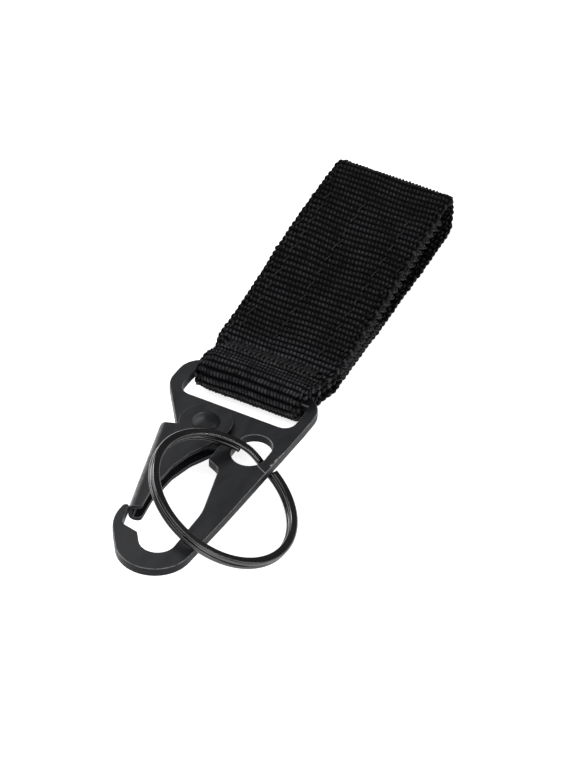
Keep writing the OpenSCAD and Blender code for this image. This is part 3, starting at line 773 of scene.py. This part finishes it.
# Thread
def stitch(verts, faces, a, b, up, r, dip, bow):
    """One stitch from a to b on a surface, that dives into the cloth at both ends and is thinner there."""
    steps = 8
    line = []
    for i in range(steps + 1):
        t = i / steps
        lift = bow * math.sin(math.pi * t) ** 0.5 - dip * (abs(2 * t - 1) ** 6)
        line.append(a.lerp(b, t) + up * lift)
    radii = [r * (0.75 if i in (0, steps) else 1.0) for i in range(steps + 1)]
    tube(verts, faces, line, radii)


def make_seams(mat):
    """Three rows of slanted stitches on the top layer, over the upper tape."""
    thread_r, dip = 0.12, 0.34
    height = WEB_T / 2 - 0.17
    verts, faces = [], []
    first = TAPE_START + SEAM_INSET + STITCH_LEN / 2
    room = HOOK_TAPE_LEN - 2 * SEAM_INSET - STITCH_LEN
    for row, (near, far) in enumerate(SEAM_ROWS):
        for i in range(int(room / STITCH_PITCH) + 1):
            y = first + i * STITCH_PITCH
            x = near + (far - near) * i * STITCH_PITCH / room
            up = Vector((0, -slope_at(y), 1)).normalized()
            jitter = noise.noise(Vector((row * 5.1, i * 1.7, 0.3)))
            half = STITCH_LEN / 2 + 0.15 * jitter
            skew = 0.30 + 0.12 * jitter
            ends = [Vector((x + skew * q, BAR_Y + y + q, top_z(y + q))) + up * height for q in (-half, half)]
            stitch(verts, faces, *ends, up, thread_r, dip, 0.02 + 0.06 * jitter)
    return build("seam_stitches", verts, faces, mat, "strap")


def make_tack(mat):
    """The bar tack: a dense zigzag on the top layer, and its lower thread under the tail."""
    thread_r, dip = 0.16, 0.3
    top, low = CLOSE_Z + WEB_T / 2 - 0.20, TAIL_Z - WEB_T / 2
    verts, faces = [], []
    for face in (1, -1):
        for i in range(2 * int(TACK_LEN / TACK_PITCH)):
            x = -TACK_LEN / 2 + (i + 0.5) * TACK_PITCH / 2
            near, far = (noise.noise(Vector((i * k, face * 3.0, 5.0))) for k in (0.9, 1.3))
            lean, bow = (0.42, 0.10) if i % 2 else (0.16, 0.03)
            ends = []
            for side, jitter in ((-1, near), (1, far)):
                y = TACK_Y + side * TACK_DEPTH / 2 + 0.3 * jitter
                px = x + side * lean
                z = top + 0.14 * jitter - tack_dip(px, y) if face == 1 else low
                ends.append(Vector((px, BAR_Y + y, z)))
            stitch(verts, faces, *ends, Vector((0, 0, face)), thread_r, dip, bow)
    return build("bar_tack_thread", verts, faces, mat, "strap")


# Split ring
def make_ring(mat):
    """One flattened wire wound twice round, crossing over as a single wire in the plate's hole."""
    steps, corner_steps = 460, 5
    radius, pitch = RING_D / 2 - WIRE_W / 2, WIRE_H + TURN_GAP
    w, h, r = WIRE_W / 2, WIRE_H / 2, WIRE_CORNER_R
    section = []
    for qx, qy, start in ((1, 1, 0), (-1, 1, 90), (-1, -1, 180), (1, -1, 270)):
        for i in range(corner_steps + 1):
            a = rad(start + 90 * i / corner_steps)
            section.append((qx * (w - r) + r * math.cos(a), qy * (h - r) + r * math.sin(a)))

    def wire_z(a):
        return pitch * (ease((a - 360 - CROSS_FROM) / (CROSS_TO - CROSS_FROM)) - 0.5)

    a0, a1 = CROSS_TO + END_CLEAR, 720 + CROSS_FROM - END_CLEAR
    turn = Matrix.Rotation(rad(RING_TURN), 3, "Z") @ Matrix.Rotation(rad(RING_TILT), 3, "Y")
    verts, faces = [], []
    for i in range(steps + 1):
        a = a0 + (a1 - a0) * i / steps
        c, s = math.cos(rad(a)), math.sin(rad(a))
        for sx, sz in section:
            p = Vector(((radius + sx) * c, (radius + sx) * s, wire_z(a) + sz))
            verts.append(in_hook(Vector(RING_AT) + turn @ p))
    skin(faces, 0, steps + 1, len(section))
    return build("ring_wire_turns", verts, faces, mat, "ring")


# Gate spring
def make_spring(mat):
    """The hairpin leaf: one leg lies on the gate's web and the other stays in the lobe's notch."""
    line = [Vector(LEAF_TOP)]
    line += [Vector(p) for p in arc(LEAF_BEND, LEAF_R, BEND_FROM, BEND_TO, 8.0)]
    line.append(Vector(LEAF_TIP))
    points = [line[0]]
    for a, b in zip(line, line[1:]):
        n = max(1, round((b - a).length))
        points += [a.lerp(b, i / n) for i in range(1, n + 1)]
    w, h, cut = LEAF_T / 2, LEAF_W / 2, LEAF_CORNER
    section = [(w, h - cut), (w - cut, h), (cut - w, h), (-w, h - cut)]
    section += [(-q, -z) for q, z in section]
    verts, faces = [], []
    for i, p in enumerate(points):
        d = (points[min(len(points) - 1, i + 1)] - points[max(0, i - 1)]).normalized()
        verts += [in_hook((p.x - d.y * q, p.y + d.x * q, z)) for q, z in section]
    skin(faces, 0, len(points), len(section))
    ob = build("spring_leaf", verts, faces, mat, None)
    ob.data.shade_flat()
    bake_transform(ob)
    return ob


# Metal nodes that stay, with a finish and softened edges
def dress(node, mat, bevel):
    """Gives a CAD node its material and rounds its edges, with its flat faces kept flat."""
    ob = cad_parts[node]
    ob.data.materials.clear()
    ob.data.materials.append(mat)
    ob.data.shade_smooth()
    # the file's corners are split for its flat shading, and a bevel needs them whole
    weld = ob.modifiers.new("whole_corners", "WELD")
    weld.merge_threshold = WELD_GAP * MM
    whole = ob.modifiers.new("whole_faces", "DECIMATE")
    whole.decimate_type = "DISSOLVE"
    whole.angle_limit = rad(FLAT_ANGLE)
    soft = ob.modifiers.new("soft_edges", "BEVEL")
    soft.width = bevel * MM
    soft.segments = BEVEL_STEPS
    soft.limit_method = "ANGLE"
    soft.angle_limit = rad(BEVEL_ANGLE)
    soft.miter_outer = "MITER_ARC"
    soft.use_clamp_overlap = False
    flat = ob.modifiers.new("flat_faces", "WEIGHTED_NORMAL")
    flat.mode = "FACE_AREA"
    flat.weight = FACE_WEIGHT


# All pieces
web_mat = webbing_material()
thread_mat = thread_material()
hook_tape_mat = tape_material("hook_tape_weave", HOOK_LIGHT, 1500)
loop_tape_mat = tape_material("loop_tape_weave", LOOP_LIGHT, 1900)

web = make_webbing(web_mat)
seams = make_seams(thread_mat)
tack = make_tack(thread_mat)
hook_base = tape_base("hook_tape_base", hook_tape_mat, hook_base_top, hook_base_low,
                      TAPE_START, HOOK_TAPE_LEN, 0.03)
hooks = make_hooks(hook_tape_mat)
loop_base = tape_base("loop_tape_base", loop_tape_mat, lambda y: LOOP_BASE_TOP,
                      lambda y: LOOP_BASE_LOW, TAPE_START, LOOP_TAPE_LEN, 0.04)
pile = make_pile(loop_tape_mat)
hook_edge = edge_loops(hook_tape_mat, "hook_tape_selvage", TAPE_START, HOOK_TAPE_LEN, [
    lambda y: hook_base_top(y) - 0.10,
    lambda y: hook_base_low(y) - 0.02,
    lambda y: (hook_base_top(y) + hook_base_low(y)) / 2,
    lambda y: hook_base_low(y) - 0.15 - 0.55 * ease((y - CLOSED_LEN) / 25),
])
loop_edge = edge_loops(loop_tape_mat, "loop_tape_selvage", TAPE_START, LOOP_TAPE_LEN, [
    lambda y: LOOP_BASE_TOP + 0.15,
    lambda y: LOOP_BASE_LOW + 0.22,
])
ring = make_ring(ring_material())
for piece, node in ((web, "webbing_strap"), (seams, "tape_seams"), (tack, "bar_tack"),
                    (hook_base, "hook_tape"), (loop_base, "loop_tape"), (ring, "split_ring")):
    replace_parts(piece, node)

dress("hook_frame", coated_metal("plate_satin_black", worn=PLATE_WEAR), 0.20)
dress("gate", coated_metal("gate_satin_black", edge=0.25), 0.09)
dress("gate_rivet", coated_metal("rivet_satin_black", rough=0.42, edge=0.0, gloss=0.28), 0.10)
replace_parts(make_spring(spring_material()), "gate_spring")


# Studio
def make_floor():
    n = FLOOR_STEPS + 1
    places = [(i / FLOOR_STEPS - 0.5) * FLOOR_SIDE for i in range(n)]
    verts = [(x, y, FLOOR_Z) for y in places for x in places]
    faces = [(j * n + i, j * n + i + 1, (j + 1) * n + i + 1, (j + 1) * n + i)
             for j in range(FLOOR_STEPS) for i in range(FLOOR_STEPS)]
    me = bpy.data.meshes.new("studio_floor")
    me.from_pydata(verts, [], faces)
    ob = bpy.data.objects.new("studio_floor", me)
    bpy.context.scene.collection.objects.link(ob)
    me.materials.append(floor_material())


def make_light(name, at, aim, width, height, power):
    light = bpy.data.lights.new(name, "AREA")
    light.energy = power
    light.shape = "RECTANGLE"
    light.size = width
    light.size_y = height
    ob = bpy.data.objects.new(name, light)
    bpy.context.scene.collection.objects.link(ob)
    at, aim = Vector(at), Vector(aim)
    ob.matrix_world = Matrix.Translation(at) @ (aim - at).to_track_quat("-Z", "Y").to_matrix().to_4x4()


def make_world():
    world = bpy.data.worlds.new("studio_world")
    world.use_nodes = True
    back = world.node_tree.nodes["Background"]
    back.inputs["Color"].default_value = rgb(WHITE)
    back.inputs["Strength"].default_value = WORLD_LIGHT
    bpy.context.scene.world = world


def make_camera():
    e, a, r = rad(EL), rad(AZ), rad(ROLL)
    look = Vector((-math.sin(a) * math.cos(e), math.cos(a) * math.cos(e), -math.sin(e)))
    level = Vector((math.cos(a), math.sin(a), 0))
    upright = (-look).cross(level)
    right = level * math.cos(r) + upright * math.sin(r)
    up = -level * math.sin(r) + upright * math.cos(r)
    place = (TARGET - look * DIST) * MM
    cam = bpy.data.cameras.new("camera")
    cam.sensor_fit = "VERTICAL"
    cam.sensor_height = SENSOR_H
    cam.sensor_width = SENSOR_W
    cam.lens = SENSOR_H * (SCALE * DIST) / PHOTO_H
    cam.clip_start = 0.01
    cam.clip_end = 20.0
    ob = bpy.data.objects.new("camera", cam)
    bpy.context.scene.collection.objects.link(ob)
    ob.matrix_world = Matrix((
        (right.x, up.x, -look.x, place.x),
        (right.y, up.y, -look.y, place.y),
        (right.z, up.z, -look.z, place.z),
        (0, 0, 0, 1),
    ))
    bpy.context.scene.camera = ob


make_floor()
for light in LIGHTS:
    make_light(*light)
make_world()
make_camera()
bpy.context.scene.view_settings.view_transform = "Standard"
